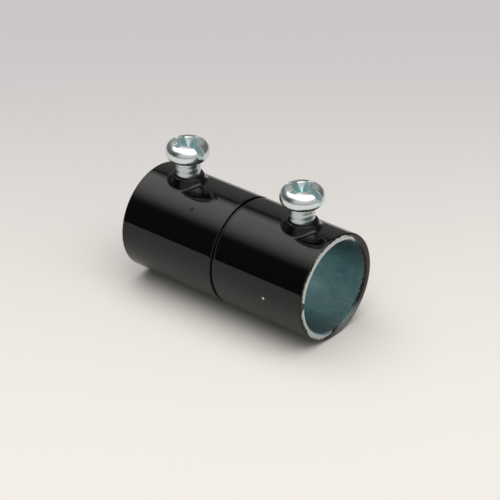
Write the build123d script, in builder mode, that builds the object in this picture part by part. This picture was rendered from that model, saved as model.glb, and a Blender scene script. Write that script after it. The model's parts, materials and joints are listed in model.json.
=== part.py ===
from build123d import *
from math import isclose, radians, sqrt, tan
import os

os.makedirs("parts", exist_ok=True)

# Set-screw coupling for half-inch thin-wall steel conduit.
# Sizes are in millimetres and +Z is up. The tube lies along X, halfway along its
# length at the origin, with its underside at Z = 0 and its two set screws on top.

# Conduit that slides into each end, and the gap all round it
conduit_diameter = 17.93
conduit_clearance = 0.185

# Steel tube
tube_length = 43.5
tube_wall = 1.45
end_round = 0.3
bore_edge_break = 0.3

# Groove rolled in near the middle, a little to the right of it, and the bead that
# it raises in the bore, which the two conduits butt against
groove_offset = 0.55
groove_width = 0.6
groove_depth = 0.6
groove_lip_round = 0.25
stop_width = 3.0
stop_height = 0.75
stop_foot_round = 0.6

# Bosses pressed up out of the tube wall, one for each screw, at the same distance
# from each end of the tube
boss_inset = 7.95
boss_rise = 1.1
boss_face_radius = 3.0
boss_flank_angle = 22
boss_shoulder_round = 0.4
boss_foot_round = 1.1
pocket_radius = 2.75
hole_lead_in = 0.2

# Number 10 set screw, its head a flat crown between a rounded shoulder and a rounded
# underside
screw_diameter = 4.83
screw_clearance = 0.05
shank_length = 5.7
shank_point_break = 0.5
neck_round = 0.15
head_diameter = 8.4
head_height = 3.7
head_crown_radius = 14
head_shoulder_round = 1.7
head_lower_round = 1.4

# Slot across the head, and a cross recess with a cone-shaped mouth. The cone and the
# ends of the wings slope alike, by an angle from the vertical
slot_width = 1.25
slot_depth = 2.1
cross_span = 5.8
cross_mouth_radius = 1.9
cross_depth = 2.4
cross_taper = 26
cross_wing_width = 1.15

# How far each screw stands backed out, from the boss's face to under its head,
# and how its slot lies, in degrees round from X
head_standoff = 3.26
left_slot_turn = -11
right_slot_turn = 0

# Sizes that follow from the ones above
bore_radius = conduit_diameter / 2 + conduit_clearance
outer_radius = bore_radius + tube_wall
stop_left = groove_offset - stop_width / 2
stop_right = groove_offset + stop_width / 2
boss_distance = tube_length / 2 - boss_inset
boss_face_height = 2 * outer_radius + boss_rise
boss_root_depth = boss_rise + tube_wall
boss_root_radius = boss_face_radius + boss_root_depth * tan(radians(boss_flank_angle))
pocket_roof_height = boss_face_height - tube_wall
screw_radius = screw_diameter / 2
screw_hole_radius = screw_radius + screw_clearance
head_radius = head_diameter / 2
head_crown_fall = head_crown_radius - sqrt(head_crown_radius**2 - head_radius**2)
cross_floor_span = cross_span - 2 * cross_depth * tan(radians(cross_taper))
head_seat_height = boss_face_height + head_standoff
tube_center = (0, 0, outer_radius)
tube_axis = Axis(tube_center, (1, 0, 0))
boss_centers = [(-boss_distance, 0, boss_face_height), (boss_distance, 0, boss_face_height)]


def upright_plane(center, turn=0):
    """A vertical plane through a centre: its own X is turned from +X, its own Y is up."""
    across = Vector(1, 0, 0).rotate(Axis.Z, turn)
    return Plane(center, x_dir=across, z_dir=across.cross(Vector(0, 0, 1)))


# Tube: a solid blank with its rolled groove, then the bosses, then the bore with
# its stop bead, the pockets behind the bosses and the screw holes
with BuildPart() as coupling_body:
    with BuildSketch(upright_plane(tube_center)) as blank_section:
        Rectangle(tube_length, outer_radius, align=(Align.CENTER, Align.MIN))
        fillet(blank_section.vertices().group_by(Axis.Y)[-1], radius=end_round)
        with Locations((groove_offset, outer_radius)):
            Rectangle(groove_width, 2 * groove_depth - groove_width, mode=Mode.SUBTRACT)
        with Locations((groove_offset, outer_radius - groove_depth + groove_width / 2)):
            Circle(groove_width / 2, mode=Mode.SUBTRACT)
        groove_lips = blank_section.vertices().group_by(Axis.Y)[-1].sort_by(Axis.X)[1:-1]
        fillet(groove_lips, radius=groove_lip_round)
    revolve(axis=tube_axis)

    for center in boss_centers:
        with BuildSketch(upright_plane(center)) as boss_section:
            with BuildLine():
                Polyline(
                    (0, 0),
                    (boss_face_radius, 0),
                    (boss_root_radius, -boss_root_depth),
                    (0, -boss_root_depth),
                    close=True,
                )
            make_face()
            shoulder = boss_section.vertices().group_by(Axis.Y)[-1].sort_by(Axis.X)[-1]
            fillet(shoulder, radius=boss_shoulder_round)
        revolve(axis=Axis(center, (0, 0, 1)))
    boss_flanks = coupling_body.faces().filter_by(GeomType.CONE)
    fillet(boss_flanks.edges().filter_by(GeomType.BSPLINE), radius=boss_foot_round)

    with BuildSketch(upright_plane(tube_center)) as bore_section:
        Rectangle(tube_length, bore_radius, align=(Align.CENTER, Align.MIN))
        with BuildLine():
            Line((stop_left, bore_radius), (stop_right, bore_radius))
            ThreePointArc(
                (stop_left, bore_radius),
                (groove_offset, bore_radius - stop_height),
                (stop_right, bore_radius),
            )
        make_face(mode=Mode.SUBTRACT)
        stop_feet = bore_section.vertices().group_by(Axis.Y)[-1].sort_by(Axis.X)[1:-1]
        fillet(stop_feet, radius=stop_foot_round)
    revolve(axis=tube_axis, mode=Mode.SUBTRACT)
    circles = coupling_body.edges().filter_by(GeomType.CIRCLE)
    bore_rims = circles.filter_by(lambda circle: isclose(circle.radius, bore_radius))
    chamfer(bore_rims.group_by(Axis.X)[0] + bore_rims.group_by(Axis.X)[-1], length=bore_edge_break)

    with BuildSketch(Plane.XY.offset(outer_radius)):
        with Locations((-boss_distance, 0), (boss_distance, 0)):
            Circle(pocket_radius)
    extrude(amount=pocket_roof_height - outer_radius, mode=Mode.SUBTRACT)
    with Locations(*boss_centers):
        CounterSinkHole(
            radius=screw_hole_radius,
            counter_sink_radius=screw_hole_radius + hole_lead_in,
            counter_sink_angle=90,
            depth=boss_root_depth,
        )

coupling_body.part.label = "coupling_body"
export_step(coupling_body.part, "parts/coupling_body.step")


# Set screws: a turned shank and head, with the slot across the whole head and the
# tapered cross recess at its middle
for name, place, slot_turn in (
    ("set_screw_left", -boss_distance, left_slot_turn),
    ("set_screw_right", boss_distance, right_slot_turn),
):
    seat = (place, 0, head_seat_height)
    crown = (place, 0, head_seat_height + head_height)

    with BuildPart() as set_screw:
        with BuildSketch(upright_plane(seat)) as half_section:
            with BuildLine():
                Polyline(
                    (0, head_height),
                    (0, -shank_length),
                    (screw_radius - shank_point_break, -shank_length),
                    (screw_radius, shank_point_break - shank_length),
                    (screw_radius, 0),
                    (head_radius - head_lower_round, 0),
                )
                RadiusArc(
                    (head_radius - head_lower_round, 0),
                    (head_radius, head_lower_round),
                    -head_lower_round,
                )
                Line(
                    (head_radius, head_lower_round),
                    (head_radius, head_height - head_crown_fall),
                )
                RadiusArc(
                    (head_radius, head_height - head_crown_fall),
                    (0, head_height),
                    -head_crown_radius,
                )
            make_face()
            shoulder = half_section.vertices().group_by(Axis.Y)[-2]
            fillet(shoulder, radius=head_shoulder_round)
            neck = half_section.vertices().group_by(Axis.Y)[2].sort_by(Axis.X)[0]
            fillet(neck, radius=neck_round)
        revolve(axis=Axis(seat, (0, 0, 1)))

        with BuildSketch(Plane(crown).rotated((0, 0, slot_turn))):
            Rectangle(head_diameter, slot_width)
        extrude(amount=-slot_depth, mode=Mode.SUBTRACT)

        with BuildSketch(Plane(crown)):
            Circle(cross_mouth_radius)
        extrude(amount=-cross_depth, taper=cross_taper, mode=Mode.SUBTRACT)
        for wing_turn in (slot_turn, slot_turn + 90):
            with BuildSketch(upright_plane(crown, wing_turn)):
                with BuildLine():
                    Polyline(
                        (-cross_span / 2, 0),
                        (cross_span / 2, 0),
                        (cross_floor_span / 2, -cross_depth),
                        (-cross_floor_span / 2, -cross_depth),
                        close=True,
                    )
                make_face()
            extrude(amount=cross_wing_width / 2, both=True, mode=Mode.SUBTRACT)

    set_screw.part.label = name
    export_step(set_screw.part, f"parts/{name}.step")
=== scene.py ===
"""Looks of a half-inch set-screw conduit coupling.

An enamelled steel tube with a rolled groove and two pressed bosses, and a zinc-plated
round-head screw standing in each boss, on a pale studio floor.
"""
import json
import logging
from dataclasses import dataclass, field
from enum import Enum
from math import atan, cos, pi, radians, sin, sqrt, tan

import bpy
import numpy as np
from mathutils import Matrix, Vector


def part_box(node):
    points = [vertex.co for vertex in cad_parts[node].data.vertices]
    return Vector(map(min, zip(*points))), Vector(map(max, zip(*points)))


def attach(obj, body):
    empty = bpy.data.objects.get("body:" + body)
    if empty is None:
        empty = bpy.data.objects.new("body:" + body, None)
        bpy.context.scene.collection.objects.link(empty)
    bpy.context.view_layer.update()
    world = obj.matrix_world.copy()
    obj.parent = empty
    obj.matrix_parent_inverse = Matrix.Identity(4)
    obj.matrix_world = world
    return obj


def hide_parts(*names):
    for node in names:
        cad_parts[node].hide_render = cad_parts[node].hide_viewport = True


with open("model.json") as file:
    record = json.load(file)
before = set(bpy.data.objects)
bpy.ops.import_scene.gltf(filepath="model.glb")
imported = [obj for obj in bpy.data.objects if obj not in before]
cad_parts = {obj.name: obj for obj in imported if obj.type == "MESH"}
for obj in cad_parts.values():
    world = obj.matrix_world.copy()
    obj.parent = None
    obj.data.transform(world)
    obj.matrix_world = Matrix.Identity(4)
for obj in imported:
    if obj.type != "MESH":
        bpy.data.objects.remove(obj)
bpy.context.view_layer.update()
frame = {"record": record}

MM = 0.001
Colour = tuple[float, float, float, float]
Span = tuple[float, float]
log = logging.getLogger("coupling")


class Slot(Enum):
    """The record's material slots."""

    ENAMEL = "black_enamelled_steel"
    ZINC = "zinc_plated_steel"


class End(Enum):
    """The two ends of the tube, with the sign of X on each."""

    LEFT = -1
    RIGHT = 1


SHANK_LENGTH = 5.7 * MM
# How each screw's slot lies, in degrees round from X
SLOT_TURNS = {End.LEFT: -11, End.RIGHT: 0}


def srgb(red: float, green: float, blue: float) -> Colour:
    """Turn a colour as it looks on screen into the linear colour that a shader takes.

    Args:
        red: Red, from 0 to 255.
        green: Green, from 0 to 255.
        blue: Blue, from 0 to 255.

    Returns:
        Linear red, green, blue and an alpha of 1.
    """
    shares = np.array([red, green, blue]) / 255
    linear = np.where(shares <= 0.04045, shares / 12.92, ((shares + 0.055) / 1.055) ** 2.4)
    return (*(float(c) for c in linear), 1.0)


# Surfaces


def ease(values: np.ndarray, low: float, high: float) -> np.ndarray:
    """Rise smoothly from 0 at low to 1 at high, as three times the square less twice the cube.

    Args:
        values: Where to read the curve.
        low: Where it leaves 0. It may lie above high, and the curve then falls.
        high: Where it reaches 1.

    Returns:
        An array like values, from 0 to 1.
    """
    share = np.clip((values - low) / (high - low), 0, 1)
    return share * share * (3 - 2 * share)


def run(start: Span, end: Span, count: int) -> np.ndarray:
    """Points along a straight stretch of a section, its end left out.

    The points crowd towards both ends, as the cosine of an even angle does, so that the
    round stretches beside it keep their shading.

    Args:
        start: First point.
        end: Last point, which the next stretch starts with.
        count: Number of points.

    Returns:
        An array of count points.
    """
    share = (1 - np.cos(np.pi * np.arange(count) / count)) / 2
    return np.array(start) + share[:, None] * (np.array(end) - np.array(start))


def even(start: Span, end: Span, count: int) -> np.ndarray:
    """Evenly spaced points along a straight stretch of a section, its end left out."""
    share = np.arange(count) / count
    return np.array(start) + share[:, None] * (np.array(end) - np.array(start))


def arc(center: Span, radius: float, start: float, end: float, count: int) -> np.ndarray:
    """Points along a circular arc of a section, its end left out.

    Args:
        center: Centre of the circle.
        radius: Its radius.
        start: First angle in degrees, counterclockwise from the first axis.
        end: Last angle in degrees.
        count: Number of points.

    Returns:
        An array of count points.
    """
    angle = np.radians(start + (end - start) * np.arange(count) / count)
    return np.array(center) + radius * np.stack([np.cos(angle), np.sin(angle)], axis=1)


def lattice(numbers: np.ndarray, keep: np.ndarray | None = None) -> np.ndarray:
    """Quads over a grid of vertex numbers, facing the columns' way crossed with the rows' way.

    Args:
        numbers: Vertex numbers by row and column. A side is closed by repeating its first line.
        keep: Which cells to make, by row and column, or None for all.

    Returns:
        Four vertex numbers for each quad.
    """
    quads = np.stack(
        [numbers[:-1, :-1], numbers[:-1, 1:], numbers[1:, 1:], numbers[1:, :-1]], axis=-1
    )
    return quads.reshape(-1, 4) if keep is None else quads[keep]


def close_columns(numbers: np.ndarray) -> np.ndarray:
    """Repeat the first column after the last, so that a lattice goes all the way round."""
    return np.concatenate([numbers, numbers[:, :1]], axis=1)


def border(rows: np.ndarray, columns: np.ndarray, numbers: np.ndarray) -> np.ndarray:
    """Vertex numbers round a rectangle of a grid, as one loop.

    Args:
        rows: Row numbers from the first side to the third.
        columns: Column numbers from the fourth side to the second.
        numbers: The grid's vertex numbers.

    Returns:
        The loop: the first row with its columns in order, the last column with its rows in
        order, and back along the last row and the first column.
    """
    return np.concatenate([
        numbers[rows[0], columns[:-1]],
        numbers[rows[:-1], columns[-1]],
        numbers[rows[-1], columns[:0:-1]],
        numbers[rows[:0:-1], columns[0]],
    ])


def make_piece(name: str, points: np.ndarray, faces: list[np.ndarray],
               marks: dict[str, np.ndarray]) -> bpy.types.Object:
    """Make a smooth-shaded mesh object of the points that its faces use.

    Args:
        name: The piece's name.
        points: All points, in metres.
        faces: Arrays of vertex numbers, each with as many columns as its faces have corners.
        marks: Numbers for each point, by the name that a material reads them under.

    Returns:
        The new object, at the origin.
    """
    used, renumbered = np.unique(np.concatenate([f.ravel() for f in faces]), return_inverse=True)
    mesh = bpy.data.meshes.new(name)
    sizes = np.concatenate([np.full(len(f), f.shape[1]) for f in faces])
    mesh.vertices.add(len(used))
    mesh.vertices.foreach_set("co", points[used].astype(np.float32).ravel())
    mesh.loops.add(len(renumbered))
    mesh.loops.foreach_set("vertex_index", renumbered.ravel().astype(np.int32))
    mesh.polygons.add(len(sizes))
    mesh.polygons.foreach_set("loop_start", (np.cumsum(sizes) - sizes).astype(np.int32))
    mesh.polygons.foreach_set("use_smooth", np.ones(len(sizes), dtype=bool))
    mesh.update(calc_edges=True)
    mesh.validate()
    for mark, values in marks.items():
        mesh.attributes.new(mark, "FLOAT", "POINT").data.foreach_set(
            "value", values[used].astype(np.float32)
        )
    piece = bpy.data.objects.new(name, mesh)
    bpy.context.scene.collection.objects.link(piece)
    log.info("%s: %d points, %d faces", name, len(used), len(sizes))
    return piece


@dataclass
class TubeBody:
    """The steel tube with its groove, stop bead and pressed bosses, made from its section."""

    length: float
    outer_radius: float
    bore_radius: float
    boss_distance: float
    boss_face_height: float
    end_round: float = 0.3 * MM
    bore_edge_break: float = 0.3 * MM
    groove_offset: float = 0.55 * MM
    groove_width: float = 0.6 * MM
    groove_depth: float = 0.6 * MM
    groove_lip_round: float = 0.25 * MM
    stop_width: float = 4.0 * MM
    stop_height: float = 0.75 * MM
    boss_face_radius: float = 3.0 * MM
    boss_flank_angle: float = 22
    boss_shoulder_round: float = 0.4 * MM
    boss_foot_round: float = 1.1 * MM
    pocket_radius: float = 2.75 * MM
    pocket_round: float = 0.2 * MM
    hole_radius: float = 2.465 * MM
    hole_lead_in: float = 0.2 * MM
    thread_pitch: float = 1.058 * MM
    thread_depth: float = 0.35 * MM
    # How far from the pocket's roof and from the countersink the thread is at full depth
    thread_fade: Span = (0.1 * MM, 0.15 * MM)
    # Points round the tube, and cells each way in the square that a boss is let into
    columns: int = 240
    patch_cells: int = 40
    # Where a boss's rings become circles: shares of half its square in the outer wall and the bore
    patch_foot: Span = (0.88, 0.92)
    # Widths of the bands of close rings: over a boss's flank, outside and inside its face's
    # edge, and round its pocket
    flank_band: float = 1.5 * MM
    shoulder_band: Span = (0.25 * MM, 0.3 * MM)
    pocket_band: float = 0.15 * MM
    # The enamel's run over a boss and in its pocket, far from where it stops, in millimetres
    boss_run: float = -5.0
    pocket_run: float = 9.0
    # Where the enamel stops, in millimetres past the outside: in the screw holes, and on each
    # end by the angle from the top towards the front in degrees
    hole_enamel_edge: float = 0.5
    enamel_edge: tuple[Span, ...] = (
        (0, 0.45), (35, 0.32), (46, 0.6), (60, 0.42), (74, 0.5), (81, 0.65), (84, 1.4), (89, 1.4),
        (93, 0.6), (106, 0.75), (120, 0.8), (130, 0.45), (150, 0.65), (162, 0.95), (172, 1.3),
        (180, 1.95), (316, 1.95), (325, 1.25), (333, 0.8), (346, 0.5), (360, 0.45),
    )
    piece: bpy.types.Object = field(init=False)

    def patch_half(self, radius: float) -> float:
        """Half the length of a boss's square in a wall, a little over half its width."""
        return radius * sin(pi * self.patch_cells / self.columns) * 1.05

    def section(self) -> tuple[np.ndarray, dict[str, int]]:
        """The closed section as points (x, radius), from the left bore edge over the outside.

        The last number of each stretch is how many points it gets.

        Returns:
            The points, and the number of the point where each named stretch starts.
        """
        half, outer, bore = self.length / 2, self.outer_radius, self.bore_radius
        turn, chamfer = self.end_round, self.bore_edge_break
        lip, bottom = self.groove_lip_round, self.groove_width / 2
        edge = bottom + lip
        middle, floor = self.groove_offset, outer - self.groove_depth + bottom
        square, pocket = self.patch_half(outer), self.patch_half(bore)
        bead = self.stop_width / 2
        cells, boss = self.patch_cells, self.boss_distance
        stretches = {
            "left_break": run((-half + chamfer, bore), (-half, bore + chamfer), 4),
            "left_face": run((-half, bore + chamfer), (-half, outer - turn), 8),
            "left_round": arc((-half + turn, outer - turn), turn, 180, 90, 6),
            "left_wall": run((-half + turn, outer), (-boss - square, outer), 7),
            "left_boss": even((-boss - square, outer), (-boss + square, outer), cells),
            "left_middle": run((-boss + square, outer), (middle - edge, outer), 12),
            "left_lip": arc((middle - edge, outer - lip), lip, 90, 0, 5),
            "groove_left": run((middle - bottom, outer - lip), (middle - bottom, floor), 2),
            "groove_floor": arc((middle, floor), bottom, 180, 360, 10),
            "groove_right": run((middle + bottom, floor), (middle + bottom, outer - lip), 2),
            "right_lip": arc((middle + edge, outer - lip), lip, 180, 90, 5),
            "right_middle": run((middle + edge, outer), (boss - square, outer), 12),
            "right_boss": even((boss - square, outer), (boss + square, outer), cells),
            "right_wall": run((boss + square, outer), (half - turn, outer), 7),
            "right_round": arc((half - turn, outer - turn), turn, 90, 0, 6),
            "right_face": run((half, outer - turn), (half, bore + chamfer), 8),
            "right_break": run((half, bore + chamfer), (half - chamfer, bore), 4),
            "right_bore": run((half - chamfer, bore), (boss + pocket, bore), 7),
            "right_pocket": even((boss + pocket, bore), (boss - pocket, bore), cells),
            "right_inner": run((boss - pocket, bore), (middle + bead, bore), 10),
            "bead": even((middle + bead, bore), (middle - bead, bore), 24),
            "left_inner": run((middle - bead, bore), (-boss + pocket, bore), 10),
            "left_pocket": even((-boss + pocket, bore), (-boss - pocket, bore), cells),
            "left_bore": run((-boss - pocket, bore), (-half + chamfer, bore), 7),
        }
        counts = np.array([len(points) for points in stretches.values()])
        starts = dict(zip(stretches, (np.cumsum(counts) - counts).tolist()))
        points = np.concatenate(list(stretches.values()))
        swell = slice(starts["bead"], starts["left_inner"])
        along = (points[swell, 0] - middle) / bead
        points[swell, 1] -= self.stop_height * (1 + np.cos(np.pi * along)) / 2
        return points, starts

    def paint_run(self, points: np.ndarray, starts: dict[str, int]) -> np.ndarray:
        """How far the enamel has to run over an end to reach each point of the section.

        It is the length along the section from the outer wall round the nearer end, in
        millimetres, and less than nothing on the outside.

        Args:
            points: The closed section.
            starts: Where its stretches start.

        Returns:
            One number for each point.
        """
        steps = np.linalg.norm(np.roll(points, -1, axis=0) - points, axis=1)
        travelled = np.concatenate([[0], np.cumsum(steps)])
        whole, travelled = travelled[-1], travelled[:-1]
        row = np.arange(len(points))
        first, last = starts["left_wall"], starts["right_round"]
        from_left = travelled[first] - travelled + np.where(row > last, whole, 0)
        from_right = travelled - travelled[last] + np.where(row < first, whole, 0)
        outside = (row > first) & (row < last)
        inward = np.where(
            outside, np.maximum(from_left, from_right), np.minimum(from_left, from_right)
        )
        inward[[first, last]] = 0
        return inward / MM

    def boss_height(self, distance: np.ndarray) -> np.ndarray:
        """Height of a boss: a flat face, a rounded shoulder and a straight flank.

        Args:
            distance: Distance from the boss's axis.

        Returns:
            The height over the floor.
        """
        slope = radians(90 - self.boss_flank_angle)
        shoulder = self.boss_shoulder_round
        flat = self.boss_face_radius - shoulder * tan(slope / 2)
        past = np.maximum(distance - flat, 0)
        arc_end = shoulder * sin(slope)
        on_arc = shoulder - np.sqrt(shoulder**2 - np.minimum(past, arc_end) ** 2)
        return self.boss_face_height - on_arc - np.maximum(past - arc_end, 0) * tan(slope)

    def outside_height(self, x: np.ndarray, y: np.ndarray) -> np.ndarray:
        """Height of the outer wall round a boss: the greater of the two, and an arc at the foot.

        In each upright plane through the boss's axis the flank meets the wall in a corner. The
        foot's arc touches the flank's line and the wall's tangent there, and what it adds to
        the two lines is added to the greater of wall and boss.

        Args:
            x: Distance along the tube from the boss's axis.
            y: Distance across.

        Returns:
            The height over the floor.
        """
        outer, distance = self.outer_radius, np.hypot(x, y)
        side = y / np.maximum(distance, 0.01 * MM)
        flank = tan(radians(90 - self.boss_flank_angle))
        corner = np.full_like(distance, self.boss_face_radius)
        # The corner's distance and the wall's height there settle within a few rounds
        for _ in range(6):
            wall_there = outer + np.sqrt(outer**2 - (corner * side) ** 2)
            corner = self.boss_face_radius + (self.boss_face_height - wall_there) / flank
        slope = -corner * side**2 / np.sqrt(outer**2 - (corner * side) ** 2)
        tilt, steep = np.arctan(slope), -atan(flank)
        reach = self.boss_foot_round * np.tan((tilt - steep) / 2)
        middle = corner + reach * np.cos(tilt) - self.boss_foot_round * np.sin(tilt)
        middle_height = reach * np.sin(tilt) + self.boss_foot_round * np.cos(tilt)
        away = distance - corner
        hollow = middle_height - np.sqrt(
            np.maximum(self.boss_foot_round**2 - (distance - middle) ** 2, 0)
        )
        lines = np.maximum(away * slope, -away * flank)
        inside = (away > -reach * cos(steep)) & (away < reach * np.cos(tilt))
        raised = np.where(inside, np.maximum(hollow - lines, 0), 0)
        wall = outer + np.sqrt(outer**2 - y**2)
        return np.maximum(wall, self.boss_height(distance)) + raised

    @property
    def roof_height(self) -> float:
        """Height of a pocket's roof, the wall's thickness under the boss's face."""
        return self.boss_face_height - (self.outer_radius - self.bore_radius)

    def hole(self, direction: np.ndarray) -> tuple[np.ndarray, np.ndarray]:
        """Rings of points down the countersink and the tapped hole and out over the pocket's roof.

        The thread is cut as a raised cosine whose phase turns with the angle, one pitch in a
        round, and fades out at both ends of the hole.

        Args:
            direction: Directions from the boss's axis, as x and y.

        Returns:
            The points' x and y from that axis, and their heights, by ring and direction.
        """
        face, lead, hole = self.boss_face_height, self.hole_lead_in, self.hole_radius
        roof, pocket, turn = self.roof_height, self.pocket_radius, self.pocket_round
        # The first ring lies just past the last one of the boss's face
        section = np.concatenate([
            run((hole + lead * 0.97, face - lead * 0.03), (hole, face - lead), 4),
            even((hole, face - lead), (hole, roof), 20),
            run((hole, roof), (pocket - turn, roof), 5),
            arc((pocket - turn, roof - turn), turn, 90, 0, 5),
        ])
        radius, height = section[:, :1], section[:, 1:]
        angle = np.arctan2(direction[:, 1], direction[:, 0])[None, :]
        turns = (height - roof) / self.thread_pitch - angle / (2 * pi)
        cut = self.thread_depth * (0.5 - 0.5 * np.cos(2 * pi * turns))
        low_fade, high_fade = self.thread_fade
        tapped = ease(height, roof, roof + low_fade)
        tapped = tapped * ease(height, face - lead, face - lead - high_fade)
        rings = radius + np.where(np.isclose(radius, hole), cut * tapped, 0)
        return direction[None] * rings[..., None], np.broadcast_to(height, rings.shape)

    def boss_patch(self, rim: np.ndarray, place: float) -> tuple[np.ndarray, np.ndarray]:
        """Rings of points over a boss, down its hole and pocket and out over the bore.

        Each ring keeps the directions of the square's border from the boss's axis. The rings
        cross from that square to circles, follow the outer height, go down the countersink
        and the tapped hole, out over the pocket's roof, down its side and back to a square.

        Args:
            rim: Border points of the square in the outer wall, counterclockwise from above.
            place: The boss's x.

        Returns:
            The points by ring and direction, and the enamel's run at each.
        """
        plan = rim[:, :2] - np.array([place, 0])
        direction = plan / np.linalg.norm(plan, axis=1)[:, None]
        outer_foot, inner_foot = self.patch_foot
        foot = self.patch_half(self.outer_radius) * outer_foot

        across = (np.arange(1, 6) / 6)[:, None, None]
        square = plan * (1 - across) + direction * foot * across
        outward, inward = self.shoulder_band
        shoulder, flat = self.boss_face_radius + outward, self.boss_face_radius - inward
        flank = shoulder + self.flank_band
        circles = np.concatenate([
            np.linspace(foot, flank, 3, endpoint=False),
            np.linspace(flank, shoulder, 22, endpoint=False),
            np.linspace(shoulder, flat, 8, endpoint=False),
            np.linspace(flat, self.hole_radius + self.hole_lead_in, 4),
        ])
        top = np.concatenate([square, direction * circles[:, None, None]])
        top_height = self.outside_height(top[..., 0], top[..., 1])

        hole, hole_height = self.hole(direction)

        pocket, band = self.pocket_radius, self.pocket_band
        shrunk = plan * self.bore_radius / self.outer_radius
        wide = np.concatenate([
            np.linspace(pocket, pocket + band, 3),
            np.linspace(pocket + 2 * band, self.patch_half(self.bore_radius) * inner_foot, 5),
        ])
        back = (np.arange(1, 5) / 5)[:, None, None]
        inner = np.concatenate([
            direction * wide[:, None, None],
            direction * wide[-1] * (1 - back) + shrunk * back,
        ])
        inner_height = self.outer_radius + np.sqrt(self.bore_radius**2 - inner[..., 1] ** 2)
        # The pocket's side goes from its rounded corner to the bore in even steps
        down = (np.arange(1, 4) / 4)[:, None]
        side_top = self.roof_height - self.pocket_round
        side_height = side_top * (1 - down) + inner_height[:1] * down
        side = np.broadcast_to(direction * pocket, (3, *direction.shape))

        flat_points = np.concatenate([top, hole, side, inner])
        heights = np.concatenate([top_height, hole_height, side_height, inner_height])
        points = np.concatenate([flat_points, heights[..., None]], axis=2)
        points[..., 0] += place
        into_hole = np.maximum(self.boss_face_height - hole_height, 0) / MM
        runs = np.concatenate([
            np.full(top.shape[:2], self.boss_run), into_hole,
            np.full((len(side) + len(inner), len(rim)), self.pocket_run),
        ])
        return points, runs

    def build(self) -> None:
        """Turn the section round the tube's axis, let the two bosses in and make the mesh.

        A point at angle a from the top towards the front lies at (x, -r sin a, R + r cos a),
        where R is the height of the tube's axis.
        """
        section, starts = self.section()
        angle = 2 * np.pi * np.arange(self.columns) / self.columns
        x, radius = section[:, :1], section[:, 1:]
        wall = np.stack([
            np.broadcast_to(x, (len(x), self.columns)),
            -radius * np.sin(angle),
            self.outer_radius + radius * np.cos(angle),
        ], axis=-1)
        numbers = np.arange(wall[..., 0].size).reshape(len(x), self.columns)
        runs = np.repeat(self.paint_run(section, starts)[:, None], self.columns, axis=1)
        reach = np.interp(np.degrees(angle), *np.transpose(self.enamel_edge))
        keep = np.ones(numbers.shape, dtype=bool)
        points, marks, faces = [wall.reshape(-1, 3)], [runs.ravel()], []
        reaches = [np.broadcast_to(reach, numbers.shape).ravel()]
        cells, count = self.patch_cells, numbers.size
        # The bosses' columns, across the top from the back to the front
        columns = np.arange(-(cells // 2), cells // 2 + 1)
        for end in End:
            outer_start = starts[f"{end.name.lower()}_boss"]
            bore_start = starts[f"{end.name.lower()}_pocket"]
            outer_rows = np.arange(outer_start + cells, outer_start - 1, -1)
            bore_rows = np.arange(bore_start, bore_start + cells + 1)
            for rows in (outer_rows, bore_rows):
                keep[np.ix_(np.sort(rows)[:-1], columns[:-1])] = False
            rim = border(outer_rows, columns[::-1], numbers)
            inside = border(bore_rows, columns[::-1], numbers)
            patch, patch_runs = self.boss_patch(points[0][rim], end.value * self.boss_distance)
            rings = count + np.arange(patch[..., 0].size).reshape(patch.shape[:2])
            count += patch[..., 0].size
            chain = np.concatenate([rim[None], rings, inside[None]])
            faces.append(lattice(close_columns(chain)))
            points.append(patch.reshape(-1, 3))
            marks.append(patch_runs.ravel())
            reaches.append(np.full(patch_runs.size, self.hole_enamel_edge))
        ring = close_columns(np.concatenate([numbers, numbers[:1]]))
        faces.append(lattice(ring, keep))
        self.piece = make_piece(
            "coupling_tube", np.concatenate(points), faces,
            {"paint_run": np.concatenate(marks), "paint_reach": np.concatenate(reaches)},
        )

    def dress(self, finish: "EnamelledSteel") -> None:
        """Enamel the piece."""
        self.piece.data.materials.append(finish.make(self))


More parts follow.
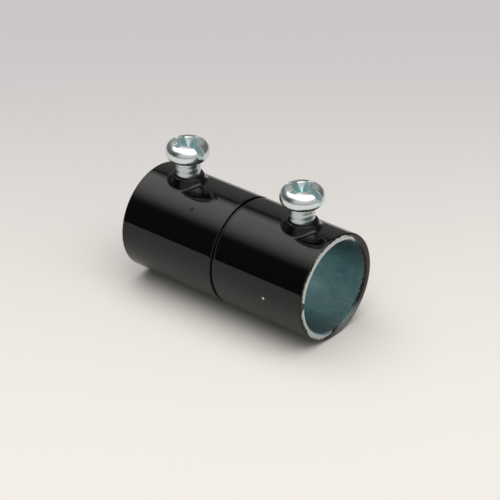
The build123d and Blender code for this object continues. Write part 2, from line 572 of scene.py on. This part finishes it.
@dataclass
class SetScrew:
    """A round-head set screw with a slot, a cross recess and a rolled thread."""

    end: End
    place: float
    seat_height: float
    tip_height: float
    head_radius: float
    slot_turn: float
    shank_radius: float = 2.415 * MM
    head_height: float = 3.7 * MM
    head_crown_radius: float = 14 * MM
    head_shoulder_round: float = 1.7 * MM
    head_lower_round: float = 1.4 * MM
    neck_round: float = 0.15 * MM
    point_break: float = 0.5 * MM
    slot_width: float = 1.25 * MM
    slot_depth: float = 2.1 * MM
    cross_span: float = 5.8 * MM
    cross_mouth_radius: float = 1.9 * MM
    cross_depth: float = 2.4 * MM
    cross_taper: float = 26
    cross_wing_width: float = 1.15 * MM
    edge_softness: float = 0.08 * MM
    thread_pitch: float = 1.058 * MM
    thread_depth: float = 0.026 * MM
    # Where the thread starts and is full: under the neck, and over the point in shares of its
    # broken edge
    neck_fade: Span = (0.25 * MM, 0.9 * MM)
    point_fade: Span = (0.6, 2.0)
    # The head's underside stops this far short of the boss when the screw is driven home
    seat_gap: float = 0.02 * MM
    # The rolled finish is full this far under the head
    rolled_below: float = 0.3 * MM
    # Radius of the innermost ring on the point, and number of rings from the head's side to
    # its grid
    point_ring: float = 0.4 * MM
    upper_rings: int = 24
    # Grid lines are closest from this share of the wing's half width to that of the slot's
    close_lines: Span = (0.76, 1.26)
    # The rim keeps the grid's spacing out to this many half widths of the slot
    rim_margin: float = 1.3
    piece: bpy.types.Object = field(init=False)

    def head_lines(self) -> np.ndarray:
        """Grid lines across the middle of the head, close together at the recess's walls.

        Returns:
            Their distances from the middle, in order.
        """
        first, last = self.close_lines
        walls = np.linspace(first * self.cross_wing_width / 2, last * self.slot_width / 2, 13)
        middle = np.linspace(0, walls[0], 7, endpoint=False)
        outer = np.linspace(walls[-1], self.cross_span / 2 + self.edge_softness, 28)[1:]
        half = np.concatenate([middle, walls, outer])
        return np.concatenate([-half[:0:-1], half])

    @property
    def shoulder_height(self) -> float:
        """Height over the head's underside at which its side starts to turn into the top."""
        crown, turn = self.head_crown_radius, self.head_shoulder_round
        return self.head_height - crown + sqrt((crown - turn) ** 2 - (self.head_radius - turn) ** 2)

    def dome(self, distance: np.ndarray) -> np.ndarray:
        """Height of the head's top without its recess: a crown arc that meets a shoulder arc.

        Args:
            distance: Distance from the screw's axis.

        Returns:
            The height over the head's underside.
        """
        crown, turn = self.head_crown_radius, self.head_shoulder_round
        reach = self.head_radius - turn
        meeting = reach * crown / (crown - turn)
        on_crown = self.head_height - crown + np.sqrt(crown**2 - np.minimum(distance, meeting) ** 2)
        past = np.clip(distance - reach, 0, turn)
        on_shoulder = self.shoulder_height + np.sqrt(turn**2 - past**2)
        return np.where(distance < meeting, on_crown, on_shoulder)

    def sink(self, height: np.ndarray, floor: np.ndarray | float, offset: np.ndarray,
             half_width: float) -> np.ndarray:
        """Lower a surface to the floor of a groove, whose walls are smooth steps.

        Args:
            height: The surface's height.
            floor: The floor's height.
            offset: Distance from the groove's middle line.
            half_width: Half the groove's width.

        Returns:
            The lowered height.
        """
        soft = self.edge_softness
        inside = ease(np.abs(offset), half_width + soft, half_width - soft)
        return height + (np.minimum(floor, height) - height) * inside

    def head_top(self, along: np.ndarray,
                 across: np.ndarray) -> tuple[np.ndarray, np.ndarray, np.ndarray]:
        """Height of the head's top over its underside, and how deep the recess is there.

        The cone at the middle and the dome give the lesser of their heights, rounded where
        they meet. The slot and the two wings of the cross each lower that to their own floor.

        Args:
            along: Place along the slot.
            across: Place across it.

        Returns:
            The heights, the depths under the dome, and the depths of the slot and the wings
            under the dome and the cone, in metres.
        """
        distance = np.hypot(along, across)
        dome = self.dome(distance)
        soft = self.edge_softness
        slope = 1 / tan(radians(self.cross_taper))
        mouth = self.head_height + (distance - self.cross_mouth_radius) * slope
        mouth = np.maximum(mouth, self.head_height - self.cross_depth)
        overlap = np.maximum(2 * soft - np.abs(dome - mouth), 0)
        opened = np.minimum(dome, mouth) - overlap**2 / (8 * soft)
        slot_floor = self.head_height - self.slot_depth
        height = self.sink(opened, slot_floor, across, self.slot_width / 2)
        for offset, reach in ((across, along), (along, across)):
            depth = np.clip((self.cross_span / 2 - np.abs(reach)) * slope, 0, self.cross_depth)
            height = self.sink(height, self.head_height - depth, offset, self.cross_wing_width / 2)
        return height, dome - height, opened - height

    def shank_radii(self, height: np.ndarray, angle: np.ndarray) -> np.ndarray:
        """Radius of the shank: the crest less a thread that fades out at the neck and the point.

        The thread is a raised cosine whose phase turns with the angle, one pitch in a round.

        Args:
            height: Height over the head's underside, less than nothing.
            angle: Angle round the screw's axis, in radians.

        Returns:
            The radius at each height and angle.
        """
        point, neck = self.tip_height - self.seat_height, -self.neck_round
        turns = height / self.thread_pitch - angle / (2 * pi)
        valley = 0.5 + 0.5 * np.cos(2 * pi * turns)
        fade = ease(height, *(neck - below for below in self.neck_fade))
        fade = fade * ease(height, *(point + self.point_break * share for share in self.point_fade))
        return self.shank_radius - self.thread_depth * valley * fade

    def section(self) -> np.ndarray:
        """The screw's section under its top as points (radius, height), from the point upwards.

        Returns:
            The points, from near the point's middle up to the start of the head's shoulder.
        """
        length, gap = self.seat_height - self.tip_height, self.seat_gap
        lower, shank, neck = self.head_lower_round, self.shank_radius, self.neck_round
        turn, tip = lower - gap, shank - self.point_break
        return np.concatenate([
            run((self.point_ring, -length), (tip, -length), 6),
            run((tip, -length), (shank, -length + self.point_break), 5),
            even((shank, -length + self.point_break), (shank, gap - neck), 116),
            arc((shank + neck, gap - neck), neck, 180, 90, 4),
            run((shank + neck, gap), (self.head_radius - turn, gap), 8),
            arc((self.head_radius - turn, lower), turn, -90, 0, 10),
            run((self.head_radius, lower), (self.head_radius, self.shoulder_height), 7),
        ])

    def rim(self, edge: np.ndarray) -> np.ndarray:
        """Points round the widest part of the head, one for each point of its grid's border.

        A point keeps its place along its side of the border over the slot. Further out, that
        place is spread until the border's corners lie on the circle's diagonals. The circle
        gives the other coordinate.

        Args:
            edge: The border's points, as their places along and across the slot.

        Returns:
            The points on the circle.
        """
        half = np.abs(edge).max()
        reach = self.head_radius / sqrt(2) / half
        side = np.abs(edge).argmax(axis=1)[:, None]
        other = np.take_along_axis(edge, 1 - side, axis=1)
        kept = self.slot_width / 2 * self.rim_margin
        other_rim = other * (1 + (reach - 1) * ease(np.abs(other), kept, half))
        far_rim = np.sqrt(np.maximum(self.head_radius**2 - other_rim**2, 0))
        far_rim = np.sign(np.take_along_axis(edge, side, axis=1)) * far_rim
        rim = np.empty_like(edge)
        np.put_along_axis(rim, 1 - side, other_rim, axis=1)
        np.put_along_axis(rim, side, far_rim, axis=1)
        return rim

    def build(self) -> None:
        """Join the point, the threaded shank, the head's side and its recessed top into one mesh.

        Below the recess the screw is rings of points, from the point's middle up to the
        widest part of the head. From there the rings cross to a square grid whose lines run
        along and across the slot.
        """
        lines = self.head_lines()
        size = len(lines)
        across, along = np.meshgrid(lines, lines, indexing="ij")
        grid = np.arange(size * size).reshape(size, size)
        step = np.arange(size)
        edge = border(step, step, grid)
        # The loop starts at the corner (-, -) and goes along the first row, so counterclockwise
        corner = np.stack([along.ravel()[edge], across.ravel()[edge]], axis=1)
        rim = self.rim(corner)
        direction = rim / self.head_radius
        angle = np.arctan2(direction[:, 1], direction[:, 0])[None, :]

        length, lower = self.seat_height - self.tip_height, self.head_lower_round
        below = self.section()
        radius, height = np.broadcast_arrays(below[:, :1], angle)[0], below[:, 1:]
        on_shank = below[:, :1] <= self.shank_radius
        threaded = on_shank & (height > -length) & (height <= -self.neck_round)
        radius = np.where(threaded, np.minimum(radius, self.shank_radii(height, angle)), radius)
        lower_plan = direction[None] * radius[..., None]
        # The slot cuts the head's side down to its floor, so the side's upper rings sink there
        rim_height = self.head_top(rim[:, 0], rim[:, 1])[0]
        shrink = (rim_height[None] - lower) / (self.shoulder_height - lower)
        lower_height = np.where(height > lower, lower + (height - lower) * shrink, height)
        lower_height = np.broadcast_to(lower_height, radius.shape)

        count = self.upper_rings
        share = np.sin(np.pi / 2 * np.arange(count, 0, -1) / count)[:, None, None]
        upper_plan = corner * (1 - share) + rim * share
        upper = self.head_top(upper_plan[..., 0], upper_plan[..., 1])
        middle = self.head_top(along, across)

        plan = np.concatenate([
            np.stack([along.ravel(), across.ravel()], axis=1),
            lower_plan.reshape(-1, 2), upper_plan.reshape(-1, 2), np.zeros((1, 2)),
        ])
        heights = np.concatenate([
            middle[0].ravel(), lower_height.ravel(), upper[0].ravel(), [-length]
        ])
        marks = {
            mark: np.concatenate([
                middle[place].ravel(), np.zeros(lower_height.size), upper[place].ravel(), [0]
            ]) / MM
            for place, mark in ((1, "recess_depth"), (2, "wing_depth"))
        }
        marks["threaded"] = ease(heights, 0, -self.rolled_below)
        rings = grid.size + np.arange((len(below) + count) * len(edge)).reshape(-1, len(edge))
        chain = close_columns(np.concatenate([rings, edge[None]]))
        hub = np.full(len(edge), len(plan) - 1)
        point = np.stack([hub, chain[0, 1:], chain[0, :-1]], axis=1)

        turn = radians(self.slot_turn)
        turned = plan @ np.array([[cos(turn), sin(turn)], [-sin(turn), cos(turn)]])
        points = np.column_stack([
            turned[:, 0] + self.place, turned[:, 1], heights + self.seat_height
        ])
        self.piece = make_piece(
            f"set_screw_{self.end.name.lower()}_plated", points,
            [lattice(grid), lattice(chain), point], marks,
        )

    def dress(self, plate: bpy.types.Material) -> None:
        """Plate the piece with the screws' common material."""
        self.piece.data.materials.append(plate)


# Shading


class Field:
    """A shader socket that takes part in Python expressions, each adding its Math node."""

    def __init__(self, sheet: "NodeSheet", socket: bpy.types.NodeSocket) -> None:
        """Wrap a socket of the sheet."""
        self.sheet = sheet
        self.socket = socket

    def __add__(self, other: "Field | float") -> "Field":
        """Sum."""
        return self.sheet.math("ADD", self, other)

    def __sub__(self, other: "Field | float") -> "Field":
        """Difference."""
        return self.sheet.math("SUBTRACT", self, other)

    def __mul__(self, other: "Field | float") -> "Field":
        """Product."""
        return self.sheet.math("MULTIPLY", self, other)

    def __truediv__(self, other: "Field | float") -> "Field":
        """Quotient."""
        return self.sheet.math("DIVIDE", self, other)

    def __rsub__(self, other: float) -> "Field":
        """A number less this."""
        return self.sheet.math("SUBTRACT", other, self)

    def __rtruediv__(self, other: float) -> "Field":
        """A number over this."""
        return self.sheet.math("DIVIDE", other, self)

    __radd__ = __add__
    __rmul__ = __mul__

    def most(self, other: "Field | float") -> "Field":
        """The greater of the two."""
        return self.sheet.math("MAXIMUM", self, other)

    def step(self, low: float, high: float) -> "Field":
        """Rise smoothly from 0 at low to 1 at high, or fall where low lies above high.

        Args:
            low: Where it leaves 0.
            high: Where it reaches 1.

        Returns:
            A field from 0 to 1.
        """
        if low > high:
            return 1 - self.step(high, low)
        settings = {"interpolation_type": "SMOOTHSTEP"}
        values = {"Value": self, "From Min": low, "From Max": high}
        return self.sheet.node("ShaderNodeMapRange", settings, values)["Result"]


class NodeSheet:
    """A node tree being filled in."""

    def __init__(self, tree: bpy.types.NodeTree) -> None:
        """Start with an empty tree."""
        self.tree = tree
        tree.nodes.clear()

    def node(self, kind: str, settings: dict | None = None,
             values: dict | tuple = ()) -> dict[str, Field]:
        """Add a node.

        Args:
            kind: The node's type.
            settings: Its own settings, set first.
            values: Numbers, colours or fields for its inputs, by name or in order.

        Returns:
            Its outputs that are in use, by name.
        """
        node = self.tree.nodes.new(kind)
        for key, value in (settings or {}).items():
            setattr(node, key, value)
        pairs = values.items() if isinstance(values, dict) else enumerate(values)
        for key, value in pairs:
            if isinstance(value, Field):
                self.tree.links.new(value.socket, node.inputs[key])
            else:
                node.inputs[key].default_value = value
        return {socket.name: Field(self, socket) for socket in node.outputs if socket.enabled}

    def math(self, operation: str, *values: "Field | float") -> Field:
        """Add a Math node on these values."""
        return self.node("ShaderNodeMath", {"operation": operation}, values)["Value"]

    def mark(self, name: str) -> Field:
        """One of the piece's own marks."""
        return self.node("ShaderNodeAttribute", {"attribute_name": name})["Fac"]

    def surface(self, values: dict) -> None:
        """Add the main shader and the material's output."""
        shader = self.node("ShaderNodeBsdfPrincipled", {}, values)
        self.node("ShaderNodeOutputMaterial", {}, {"Surface": shader["BSDF"]})

    def mix(self, share: "Field | float", first: "Field | Colour",
            second: "Field | Colour") -> Field:
        """Mix two colours.

        Args:
            share: How much of the second, from 0 to 1.
            first: The colour at 0.
            second: The colour at 1.

        Returns:
            The mixed colour.
        """
        # The node's factor and its two colours, by their places among its inputs
        values = {0: share, 6: first, 7: second}
        return self.node("ShaderNodeMix", {"data_type": "RGBA"}, values)["Result"]

    def noise(self, place: Field, size: float, detail: float = 2.0,
              roughness: float = 0.5) -> Field:
        """Cloudy noise about 0.5.

        Args:
            place: Where it is read.
            size: Width of one cloud, in metres.
            detail: Number of finer layers.
            roughness: How strong the finer layers are.

        Returns:
            The noise, mostly from 0.3 to 0.7.
        """
        values = {"Vector": place, "Scale": 1 / size, "Detail": detail, "Roughness": roughness}
        return self.node("ShaderNodeTexNoise", {}, values)["Fac"]

    def bump(self, height: Field, depth: float) -> Field:
        """Normals of a relief whose height of 1 is this deep, in metres."""
        values = {"Height": height, "Distance": depth, "Strength": 1.0}
        return self.node("ShaderNodeBump", {}, values)["Normal"]


def new_material(name: str) -> tuple[bpy.types.Material, NodeSheet, Field]:
    """Start a material.

    Args:
        name: Its name.

    Returns:
        The material, its empty sheet, and the place on the piece in Object coordinates.
    """
    material = bpy.data.materials.new(name)
    material.use_nodes = True
    sheet = NodeSheet(material.node_tree)
    return material, sheet, sheet.node("ShaderNodeTexCoord")["Object"]


def towards(parts: dict[str, Field], azimuth: float) -> Field:
    """How far a place or a direction lies towards an azimuth in degrees, 0 being the front."""
    return parts["X"] * sin(radians(azimuth)) - parts["Y"] * cos(radians(azimuth))


@dataclass(frozen=True)
class Spot:
    """A small mark on the tube's outer wall, at an angle from the top towards the front."""

    x: float
    angle: float
    radius: float


@dataclass(frozen=True)
class EnamelledSteel:
    """Gloss black enamel outside, bare blue-passivated zinc where the enamel ends."""

    enamel: Colour = srgb(5, 5, 6)
    enamel_roughness: float = 0.035
    enamel_ior: float = 1.39
    paint_thickness: float = 0.05 * MM
    zinc: Colour = srgb(213, 229, 230)
    stained_zinc: Colour = srgb(152, 195, 203)
    cut_steel: Colour = srgb(190, 190, 186)
    chipped: Colour = srgb(204, 201, 194)
    zinc_roughness: float = 0.3
    # Widths of the noises' clouds
    edge_clouds: Span = (1.1 * MM, 0.32 * MM)
    blotch: float = 3.2 * MM
    streak: float = 0.35 * MM
    streak_scale: tuple[float, float, float] = (0.12, 1, 1)
    dust: float = 0.5 * MM
    orange_peel: float = 2.4 * MM
    # How far the two edge noises move the enamel's edge, in millimetres, and from where the
    # enamel is whole to where the metal is bare past it
    edge_ragged: Span = (0.6, 0.7)
    bare_past: Span = (-0.05, 0.07)
    # The stain's contrast in blotches and in streaks
    stain_contrast: Span = (2.4, 0.7)
    # The side of the rim with a partly bare, lighter band by its angle, the height of the band
    # towards it as a share of the tube's radius, and the enamel's run there
    lighter_rim_side: float = 203
    lighter_rim_band: Span = (0.78, 0.92)
    lighter_rim_run: Span = (0.2, 0.9)
    lighter_rim_share: float = 0.3
    # Enamel's run at which the cut face's grey gives way to the bore's stained zinc
    bore_run: Span = (1.1, 1.3)
    # A lighter line along the bore by its angle, its half width where it fades and is full,
    # and how much of it shows
    lighter_line_angle: float = -138.2
    lighter_line_width: Span = (0.3 * MM, 0.05 * MM)
    lighter_line_share: float = 0.5
    # Roughness that dust and the pit add to the enamel, and streaks and stain to the metal
    dust_roughness: float = 0.06
    pit_roughness: float = 0.5
    streak_roughness: float = 0.3
    stain_roughness: float = 0.08
    # Relief of the orange peel and of the streaks, in shares of the paint's thickness
    peel_relief: float = 0.05
    streak_relief: float = 0.08
    flake: Spot = Spot(x=13.06 * MM, angle=93.2, radius=0.29 * MM)
    pit: Spot = Spot(x=-7.8 * MM, angle=34.9, radius=0.42 * MM)

    def spot(self, sheet: NodeSheet, place: Field, mark: Spot, tube_radius: float) -> Field:
        """Cover a small ragged mark.

        Args:
            sheet: The material's sheet.
            place: The place on the tube.
            mark: The mark.
            tube_radius: The tube's outer radius.

        Returns:
            1 inside the mark and 0 outside.
        """
        turn = radians(mark.angle)
        at = (mark.x, -tube_radius * sin(turn), tube_radius * (1 + cos(turn)))
        away = sheet.node("ShaderNodeVectorMath", {"operation": "DISTANCE"}, (place, at))["Value"]
        ragged = (sheet.noise(place, 0.15 * MM) - 0.5) * mark.radius
        return (away + ragged).step(mark.radius * 1.1, mark.radius * 0.8)

    def make(self, tube: TubeBody) -> bpy.types.Material:
        """Build the material.

        The enamel's edge lies where its run over the tube's end stops, as the piece's
        attributes give it, and noise makes it ragged.

        Args:
            tube: The tube that wears it.

        Returns:
            The material.
        """
        material, sheet, place = new_material("enamelled_steel")
        parts = sheet.node("ShaderNodeSeparateXYZ", {}, (place,))
        y, z = parts["Y"], parts["Z"] - tube.outer_radius
        run_mm, reach = sheet.mark("paint_run"), sheet.mark("paint_reach")

        coarse, fine = (
            sheet.noise(place, width, detail) for width, detail in zip(self.edge_clouds, (3, 2))
        )
        coarse_reach, fine_reach = self.edge_ragged
        ragged = (coarse - 0.5) * coarse_reach + (fine - 0.5) * fine_reach
        bare = (run_mm - reach - ragged).step(*self.bare_past)
        # A band on one side of the rim is made partly bare, and so lighter
        turn = radians(self.lighter_rim_side)
        lighter_rim = ((z * cos(turn) - y * sin(turn)) / tube.outer_radius).step(*self.lighter_rim_band)
        bare = bare.most(lighter_rim * run_mm.step(*self.lighter_rim_run) * self.lighter_rim_share)
        flake = self.spot(sheet, place, self.flake, tube.outer_radius)
        bare = bare.most(flake)
        painted = 1 - bare

        blotch = sheet.noise(place, self.blotch, 4, 0.6)
        drawn = {"Vector": place, "Scale": self.streak_scale}
        streak = sheet.noise(sheet.node("ShaderNodeMapping", {}, drawn)["Vector"], self.streak, 3)
        in_blotches, in_streaks = self.stain_contrast
        stain = ((blotch - 0.38) * in_blotches + (streak - 0.5) * in_streaks).step(0, 1)
        inner = (run_mm + (fine - 0.5) * 0.3).step(*self.bore_run)
        zinc = sheet.mix(stain, self.zinc, self.stained_zinc)
        # A lighter line of the cut steel's colour runs along one side of the bore
        turn = radians(self.lighter_line_angle)
        beside = sheet.math("ABSOLUTE", y * cos(turn) + z * sin(turn))
        near_side = (z * cos(turn) - y * sin(turn)).step(0, MM)
        lighter_line = beside.step(*self.lighter_line_width) * near_side
        zinc = sheet.mix(lighter_line * self.lighter_line_share, zinc, self.cut_steel)
        zinc = sheet.mix(inner, self.cut_steel, zinc)
        zinc = sheet.mix(flake, zinc, self.chipped)
        colour = sheet.mix(bare, self.enamel, zinc)

        dust = sheet.noise(place, self.dust, 3)
        enamel_roughness = self.enamel_roughness + (dust - 0.5).most(0) * self.dust_roughness
        metal_roughness = self.zinc_roughness + (streak - 0.5) * self.streak_roughness
        metal_roughness = metal_roughness + stain * self.stain_roughness
        pit = self.spot(sheet, place, self.pit, tube.outer_radius)
        enamel_roughness = enamel_roughness + pit * self.pit_roughness
        roughness = enamel_roughness * painted + metal_roughness * bare

        orange_peel = sheet.noise(place, self.orange_peel, 1.5)
        relief = painted * (1 - pit) + (orange_peel * self.peel_relief) * painted
        relief = relief + streak * bare * self.streak_relief
        sheet.surface({
            "Base Color": colour, "Metallic": bare * (1 - flake), "Roughness": roughness,
            "IOR": self.enamel_ior, "Normal": sheet.bump(relief, self.paint_thickness),
        })
        return material


@dataclass(frozen=True)
class BrightZinc:
    """Bright zinc plate, with a blue-green passivate that gathers in the recess and is lightened
    there as a painted highlight, and painted shade in the slot and wings.
    """

    plate: Colour = srgb(217, 224, 226)
    # Passivate: the plate's real blue-green tint, lightened above the plate as a painted highlight
    # in the recess
    passivate_and_highlight: Colour = srgb(216, 248, 251)
    # Painted shade: the plate's colour in the slot and wings, darker with depth
    painted_shade_colour: Colour = srgb(166, 190, 191)
    rolled: Colour = srgb(188, 200, 204)
    roughness: float = 0.24
    # Widths of the noises' clouds, and the depth of their relief
    cloud: float = 1.3 * MM
    grain: float = 0.12 * MM
    relief: float = 0.004 * MM
    # Depths in the recess, in millimetres, between which the passivate gathers and is lightened
    # as a painted highlight, and in the slot and wings, between which painted shade darkens the
    # plate
    tint_and_highlight_depth: Span = (0.05, 1.5)
    painted_shade_depth: Span = (0.05, 0.6)
    # How far the clouds move those depths, in millimetres
    tint_and_highlight_ragged: float = 0.8
    painted_shade_ragged: float = 0.4
    # Strengths of the passivate with its painted highlight in the recess, of the passivate in
    # clouds, and of the rolled colour
    tint_and_highlight_strength: float = 0.85
    cloud_tint: float = 0.6
    rolled_tint: float = 0.8
    # How much less metallic the painted shade makes the plate, and the roughness that each mark
    # adds
    painted_shade_metal_loss: float = 0.7
    cloud_roughness: float = 0.12
    tint_and_highlight_roughness: float = 0.08
    painted_shade_roughness: float = 0.2
    rolled_roughness: float = 0.06

    def make(self) -> bpy.types.Material:
        """Build the material.

        Returns:
            The material.
        """
        material, sheet, place = new_material("bright_zinc")
        depth, wing = sheet.mark("recess_depth"), sheet.mark("wing_depth")
        thread = sheet.mark("threaded")
        cloud = sheet.noise(place, self.cloud, 3)
        grain = sheet.noise(place, self.grain, 2)
        # The recess takes the passivate's tint, lightened there as a painted highlight
        tint_and_highlight = (depth + (cloud - 0.5) * self.tint_and_highlight_ragged).step(*self.tint_and_highlight_depth)
        # Painted shade: the slot and wings grow darker and less metallic with their depth
        painted_shade = (wing + (cloud - 0.5) * self.painted_shade_ragged).step(*self.painted_shade_depth)
        tinted_with_highlight = tint_and_highlight * self.tint_and_highlight_strength + (cloud - 0.45).most(0) * self.cloud_tint
        colour = sheet.mix(tinted_with_highlight, self.plate, self.passivate_and_highlight)
        colour = sheet.mix(painted_shade, colour, self.painted_shade_colour)
        colour = sheet.mix(thread * self.rolled_tint, colour, self.rolled)
        roughness = self.roughness + (cloud - 0.5) * self.cloud_roughness
        roughness = roughness + tint_and_highlight * self.tint_and_highlight_roughness
        roughness = roughness + painted_shade * self.painted_shade_roughness + thread * self.rolled_roughness
        sheet.surface({
            "Base Color": colour, "Metallic": 1 - painted_shade * self.painted_shade_metal_loss, "Roughness": roughness,
            "Normal": sheet.bump(grain + cloud * 0.6, self.relief),
        })
        return material


# The studio


@dataclass(frozen=True)
class Viewpoint:
    """The camera, at the photograph's viewing angle."""

    azimuth: float = 39.95
    elevation: float = 31.17
    roll: float = -0.70
    distance: float = 477 * MM
    sensor_width: float = 36
    focal_pixels: float = 2525.6
    frame_pixels: float = 500
    aim_x_pixel: float = 244.9
    aim_y_pixel: float = 249.35

    def place(self, target: Vector) -> None:
        """Create the camera and make it the scene's.

        Args:
            target: The point that lands on the aim pixel.
        """
        data = bpy.data.cameras.new("camera")
        data.sensor_width = self.sensor_width
        data.lens = self.focal_pixels / self.frame_pixels * self.sensor_width
        data.shift_x = 0.5 - self.aim_x_pixel / self.frame_pixels
        data.shift_y = self.aim_y_pixel / self.frame_pixels - 0.5
        data.clip_start, data.clip_end = 0.01, 10
        turn, lift = radians(self.azimuth), radians(self.elevation)
        back = Vector((sin(turn) * cos(lift), -cos(turn) * cos(lift), sin(lift)))
        side = Vector((cos(turn), sin(turn), 0))
        up = back.cross(side)
        lean = radians(self.roll)
        right, above = side * cos(lean) + up * sin(lean), up * cos(lean) - side * sin(lean)
        axes = Matrix((right, above, back)).transposed()
        camera = bpy.data.objects.new("camera", data)
        camera.matrix_world = Matrix.Translation(target + back * self.distance) @ axes.to_4x4()
        bpy.context.scene.collection.objects.link(camera)
        bpy.context.scene.camera = camera


@dataclass(frozen=True)
class Studio:
    """A pale floor under a wide soft light, in an otherwise dim room."""

    floor_half: float = 160 * MM
    # Painted shade: the floor's colour darkens away from the camera, over the blend
    floor_far_shaded: Colour = srgb(188, 185, 188)
    floor_near: Colour = srgb(225, 223, 218)
    floor_shade_blend: Span = (-130 * MM, 60 * MM)
    backdrop: Colour = srgb(228, 226, 222)
    light_tint: Colour = (1.0, 0.985, 0.955, 1)
    # Strengths of the lights
    soft_light: float = 2.25
    room: float = 0.05
    haze: float = 0.10
    back_wall: float = 0.38
    front_card: float = 0.6
    front_card_azimuth: float = 60
    # Where each light is nothing and full. The soft light's edges are places on a ceiling at
    # height 1. The rest are the rise of a direction, and its level share towards the camera
    # or the card
    soft_sides: Span = (1.35, 0.75)
    soft_front: Span = (-1.1, 0.0)
    soft_back: Span = (0.80, 0.30)
    wall_foot: Span = (-0.25, 0.6)
    wall_top: Span = (0.66, 0.56)
    wall_sides: Span = (-0.86, -0.98)
    card_foot: Span = (-0.02, 0.06)
    card_sides: Span = (0.05, 0.65)
    haze_edge: Span = (0.35, -0.5)
    # A mirrored ray that falls this steeply past the floor's edge shows the backdrop
    floor_rise: Span = (-0.10, -0.15)

    def floor(self) -> None:
        """Lay the floor, a square at height 0 whose colour grows paler towards the camera, with
        painted shade darkening it far from the camera.
        """
        half = self.floor_half
        mesh = bpy.data.meshes.new("floor")
        corners = [(-half, -half, 0), (half, -half, 0), (half, half, 0), (-half, half, 0)]
        mesh.from_pydata(corners, [], [(0, 1, 2, 3)])
        floor = bpy.data.objects.new("floor", mesh)
        bpy.context.scene.collection.objects.link(floor)
        material, sheet, place = new_material("paper")
        parts = sheet.node("ShaderNodeSeparateXYZ", {}, (place,))
        # Painted shade: the floor's colour darkens away from the camera
        less_shaded = towards(parts, Viewpoint.azimuth).step(*self.floor_shade_blend)
        colour = sheet.mix(less_shaded, self.floor_far_shaded, self.floor_near)
        sheet.surface({"Base Color": colour, "Roughness": 0.9, "Specular IOR Level": 0.0})
        mesh.materials.append(material)

    def light(self) -> None:
        """Light the world by direction: the soft light overhead, a dim back wall, a dark room.

        The soft light is a smooth patch on a ceiling plane at height 1, where a direction
        lands at its x and y over its z.
        """
        world = bpy.data.worlds.new("studio")
        world.use_nodes = True
        sheet = NodeSheet(world.node_tree)
        way = sheet.node("ShaderNodeTexCoord")["Generated"]
        parts = sheet.node("ShaderNodeSeparateXYZ", {}, (way,))
        rise = parts["Z"]
        height = rise.most(0.05)
        across, depth = parts["X"] / height, parts["Y"] / height
        spread = sheet.math("ABSOLUTE", across).step(*self.soft_sides)
        depth = depth.step(*self.soft_front) * depth.step(*self.soft_back)
        level = sheet.math("SQRT", (1 - rise * rise).most(0.0001))
        ahead = towards(parts, Viewpoint.azimuth) / level
        wall = ahead.step(*self.wall_sides) * rise.step(*self.wall_foot) * rise.step(*self.wall_top)
        facing = towards(parts, self.front_card_azimuth) / level
        card = facing.step(*self.card_sides) * rise.step(*self.card_foot)
        glow = depth * spread * self.soft_light + wall * (self.back_wall - self.haze)
        glow = glow + card * self.front_card + ahead.step(*self.haze_edge) * self.haze + self.room
        rays = sheet.node("ShaderNodeLightPath")
        mirrored = rays["Is Glossy Ray"] + rays["Is Transmission Ray"]
        seen = rays["Is Camera Ray"].most(mirrored * rise.step(*self.floor_rise))
        colour = sheet.mix(seen, self.light_tint, self.backdrop)
        strength = glow * (1 - seen) + seen
        background = sheet.node("ShaderNodeBackground", {}, {"Color": colour, "Strength": strength})
        sheet.node("ShaderNodeOutputWorld", {}, {"Surface": background["Background"]})
        bpy.context.scene.world = world


def main() -> None:
    """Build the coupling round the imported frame, then the studio."""
    logging.basicConfig(level=logging.INFO, format="%(name)s: %(message)s")
    bpy.context.scene.view_settings.view_transform = "Standard"

    low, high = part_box("coupling_body")
    seats = {End.LEFT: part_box("set_screw_left"), End.RIGHT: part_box("set_screw_right")}
    bores = {mount["name"]: mount["dims"]["r_mm"] * MM for mount in frame["record"]["mounts"]}
    right_low, right_high = seats[End.RIGHT]

    outer_radius = (high.y - low.y) / 2
    Viewpoint().place(Vector((0, 0, outer_radius)))
    Studio().floor()
    Studio().light()

    tube = TubeBody(
        length=high.x - low.x,
        outer_radius=outer_radius,
        bore_radius=bores["conduit_socket_right"],
        boss_distance=(right_low.x + right_high.x) / 2,
        boss_face_height=high.z,
    )
    tube.build()
    tube.dress(EnamelledSteel())
    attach(tube.piece, "coupling")
    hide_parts("coupling_body")

    plate = BrightZinc().make()
    for end, slot_turn in SLOT_TURNS.items():
        side = end.name.lower()
        screw_low, screw_high = seats[end]
        screw = SetScrew(
            end=end,
            place=(screw_low.x + screw_high.x) / 2,
            tip_height=screw_low.z,
            seat_height=screw_low.z + SHANK_LENGTH,
            head_radius=(screw_high.x - screw_low.x) / 2,
            slot_turn=slot_turn,
        )
        screw.build()
        screw.dress(plate)
        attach(screw.piece, f"{side}_screw")
        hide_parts(f"set_screw_{side}")


if __name__ == "__main__":
    main()
